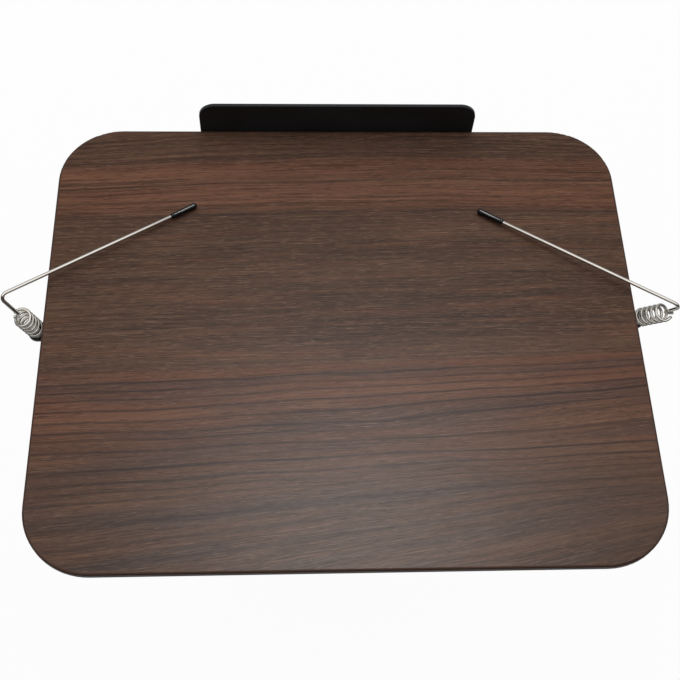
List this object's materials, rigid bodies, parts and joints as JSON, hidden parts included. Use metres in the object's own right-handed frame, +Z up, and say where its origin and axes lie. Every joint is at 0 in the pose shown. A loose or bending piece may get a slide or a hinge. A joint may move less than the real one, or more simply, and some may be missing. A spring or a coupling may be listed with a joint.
{
  "type": "book stand",
  "caption": "Folding reading stand: a tilting walnut-look board with a front ledge and sprung wire page clips, carried by hinged steel arms on a flat base",
  "frame": {"origin": "on the table, under the middle of the stand's overall width and depth", "axes": "X along the ledge, +Y towards the reader, +Z up"},
  "size_m": [0.3893, 0.2656, 0.3155],
  "materials": {
    "walnut_laminate": "semi-matte walnut-grained laminate",
    "board_substrate": "dark balancing sheet over fibreboard",
    "edge_band": "dark brown edge band",
    "black_steel": "black powder coat, fine texture",
    "clip_strip": "black powder coat, fine texture",
    "black_fasteners": "black oxide",
    "zinc_steel": "bright zinc plate",
    "washer_nylon": "black nylon",
    "chrome_wire": "bright plated wire",
    "spring_wire": "bright drawn spring wire",
    "black_rubber": "glossy dipped rubber",
    "silicone": "matte silicone"
  },
  "bodies": {
    "base": {"base_plate": "black_steel", "base_pads": "silicone", "left_base_bracket": "black_steel", "right_base_bracket": "black_steel", "base_bracket_rivets": "black_fasteners", "base_hinge_bolts": "black_fasteners", "base_hinge_washers": "washer_nylon", "base_hinge_discs": "zinc_steel", "base_hinge_nuts": "zinc_steel"},
    "arms": {"left_arm": "black_steel", "right_arm": "black_steel", "arm_cross_bar": "black_steel", "cross_bar_bolts": "black_fasteners"},
    "board": {"board_core": "board_substrate", "board_laminate": "walnut_laminate", "board_edge_band": "edge_band", "tray_plate": "black_steel", "board_screws": "black_fasteners", "left_board_bracket": "black_steel", "right_board_bracket": "black_steel", "board_bracket_rivets": "black_fasteners", "board_hinge_bolts": "black_fasteners", "board_hinge_washers": "washer_nylon", "board_hinge_discs": "zinc_steel", "board_hinge_nuts": "zinc_steel", "left_clip_bracket": "clip_strip", "right_clip_bracket": "clip_strip", "clip_bracket_screws": "black_fasteners"},
    "left_clip": {"left_clip_stem": "zinc_steel", "left_clip_ring": "zinc_steel", "left_page_spring": "spring_wire"},
    "left_rod": {"left_page_rod": "chrome_wire", "left_rod_tip": "black_rubber"},
    "right_clip": {"right_clip_stem": "zinc_steel", "right_clip_ring": "zinc_steel", "right_page_spring": "spring_wire"},
    "right_rod": {"right_page_rod": "chrome_wire", "right_rod_tip": "black_rubber"}
  },
  "joints": [
    {"name": "base_hinge", "type": "hinge", "parent": "base", "child": "arms", "pos_m": [0, -0.09302, 0.02], "axis": [1, 0, 0], "range_deg": [-40, 50]},
    {"name": "board_hinge", "type": "hinge", "parent": "arms", "child": "board", "pos_m": [0, 0.09084, 0.17427], "axis": [-1, 0, 0], "range_deg": [-68, 52]},
    {"name": "left_clip_swing", "type": "hinge", "parent": "board", "child": "left_clip", "pos_m": [-0.18, -0.0066, 0.21362], "axis": [0, -0.4695, -0.8829], "range_deg": [-70, 20]},
    {"name": "left_rod_lift", "type": "hinge", "parent": "left_clip", "child": "left_rod", "pos_m": [-0.1822, -0.00251, 0.22503], "axis": [0.5227, -0.7527, 0.4002], "range_deg": [0, 35], "stiffness_Nm_per_rad": 0.3, "springref_deg": -28.65, "deforming": ["left_page_spring"]},
    {"name": "right_clip_swing", "type": "hinge", "parent": "board", "child": "right_clip", "pos_m": [0.18, -0.0013, 0.2108], "axis": [0, 0.4695, 0.8829], "range_deg": [-70, 20]},
    {"name": "right_rod_lift", "type": "hinge", "parent": "right_clip", "child": "right_rod", "pos_m": [0.185, 0.00032, 0.22353], "axis": [0.5398, 0.7433, -0.3952], "range_deg": [0, 35], "stiffness_Nm_per_rad": 0.3, "springref_deg": -28.65, "deforming": ["right_page_spring"]}
  ]
}
